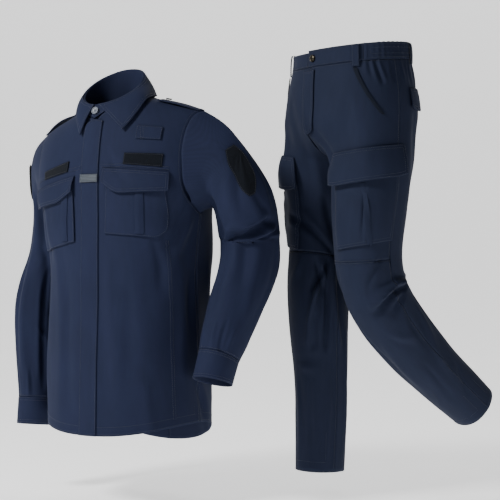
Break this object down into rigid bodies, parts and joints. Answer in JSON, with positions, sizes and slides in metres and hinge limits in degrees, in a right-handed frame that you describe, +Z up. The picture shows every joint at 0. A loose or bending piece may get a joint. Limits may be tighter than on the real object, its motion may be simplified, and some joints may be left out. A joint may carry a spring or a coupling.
{
  "type": "training uniform",
  "caption": "Long-sleeved work shirt with flap pockets, shoulder straps and hook-and-loop patches, beside cargo trousers with an elastic-backed waist, both hollow as when worn.",
  "frame": {"origin": "middle of the shirt's neck, level with the front of the collar, where the wearer's neck passes through", "axes": "+Z up; +X across the pair from the shirt to the trousers; -Y towards the viewer, who sees each garment's left front"},
  "size_m": [1.1347, 0.4453, 0.9893],
  "materials": {
    "shirt_cloth": "matt",
    "trouser_cloth": "matt",
    "loop_tape": "matt pile",
    "tab_webbing": "matt",
    "button": "satin",
    "button_metal": "satin"
  },
  "bodies": {
    "root": {"back_flap_left": "trouser_cloth", "back_flap_right": "trouser_cloth", "badge_holder": "shirt_cloth", "belt_loop_back": "trouser_cloth", "belt_loop_front_left": "trouser_cloth", "belt_loop_front_right": "trouser_cloth", "belt_loop_side_left": "trouser_cloth", "belt_loop_side_right": "trouser_cloth", "cargo_flap_left": "trouser_cloth", "cargo_flap_right": "trouser_cloth", "cargo_pocket_left": "trouser_cloth", "cargo_pocket_right": "trouser_cloth", "chest_flap_left": "shirt_cloth", "chest_flap_right": "shirt_cloth", "chest_pocket_left": "shirt_cloth", "chest_pocket_right": "shirt_cloth", "collar_button": "button", "collar_leaf": "shirt_cloth", "collar_stand": "shirt_cloth", "cuff_left": "shirt_cloth", "cuff_right": "shirt_cloth", "fly": "trouser_cloth", "leg_back_left": "trouser_cloth", "leg_back_right": "trouser_cloth", "name_strip_left": "loop_tape", "name_strip_right": "loop_tape", "placket": "shirt_cloth", "placket_tab": "tab_webbing", "pocket_edge_left": "trouser_cloth", "pocket_edge_right": "trouser_cloth", "shin_front_left": "trouser_cloth", "shin_front_right": "trouser_cloth", "shirt_back_left": "shirt_cloth", "shirt_back_right": "shirt_cloth", "shirt_front_left": "shirt_cloth", "shirt_front_right": "shirt_cloth", "shoulder_strap_left": "shirt_cloth", "shoulder_strap_right": "shirt_cloth", "sleeve_left": "shirt_cloth", "sleeve_right": "shirt_cloth", "sleeve_shield_left": "loop_tape", "sleeve_shield_right": "loop_tape", "strap_button_left": "button", "strap_button_right": "button", "thigh_front_left": "trouser_cloth", "thigh_front_right": "trouser_cloth", "waist_button": "button_metal", "waistband_elastic": "trouser_cloth", "waistband_left": "trouser_cloth", "waistband_right": "trouser_cloth"}
  },
  "joints": []
}
